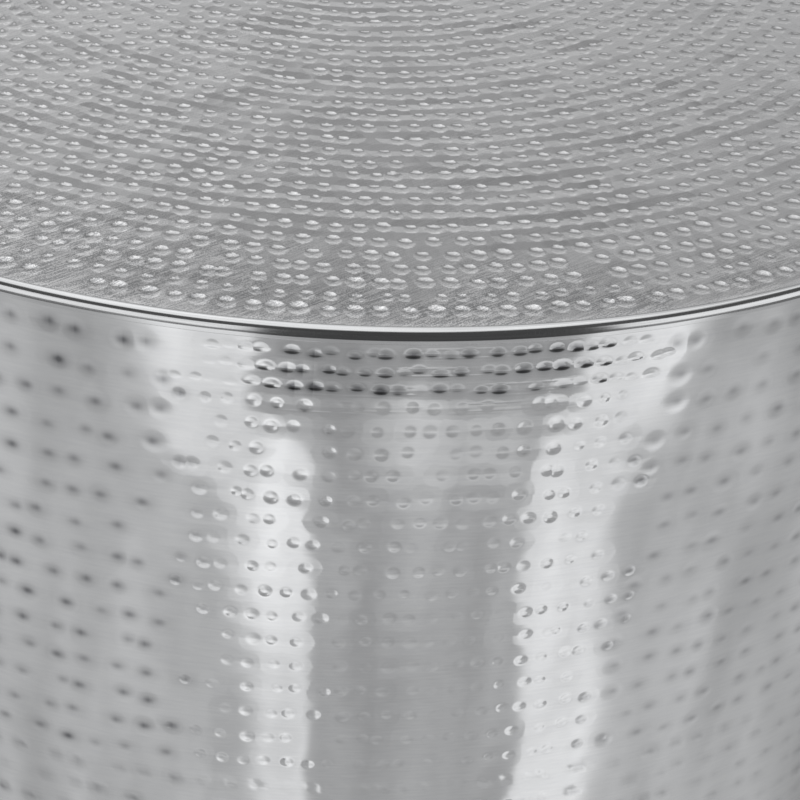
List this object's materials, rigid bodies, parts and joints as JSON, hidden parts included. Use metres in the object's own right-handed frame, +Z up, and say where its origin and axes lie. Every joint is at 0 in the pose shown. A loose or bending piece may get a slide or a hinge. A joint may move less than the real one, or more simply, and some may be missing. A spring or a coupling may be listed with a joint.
{
  "type": "drum side table",
  "caption": "Round drum side table of hammered metal sheet: flat dented top with a rolled bead rim, straight drum wall, open underside, hidden angle frame on rubber feet.",
  "frame": {"origin": "on the floor, under the centre of the top", "axes": "+Z up along the drum's axis; the wall's vertical seam faces +Y, so the front is -Y"},
  "size_m": [0.406, 0.406, 0.508],
  "materials": {
    "hammered_sheet": "hand hammered, satin polished and lacquered",
    "wire": "drawn, zinc plated",
    "frame_iron": "black enamel",
    "board": "bare fibreboard",
    "fastener": "zinc plated",
    "foot_rubber": "moulded matt"
  },
  "bodies": {
    "root": {"top_sheet": "hammered_sheet", "drum_wall": "hammered_sheet", "seam_strap": "hammered_sheet", "rim_wire": "wire", "base_wire": "wire", "top_board": "board", "support_ring": "frame_iron", "base_ring": "frame_iron", "board_screws": "fastener", "stay_rivets": "frame_iron", "foot_screws": "fastener", "foot_washers": "fastener", "foot_nuts": "fastener", "stay_1": "frame_iron", "foot_1": "foot_rubber", "stay_2": "frame_iron", "foot_2": "foot_rubber", "stay_3": "frame_iron", "foot_3": "foot_rubber", "stay_4": "frame_iron", "foot_4": "foot_rubber"}
  },
  "joints": []
}
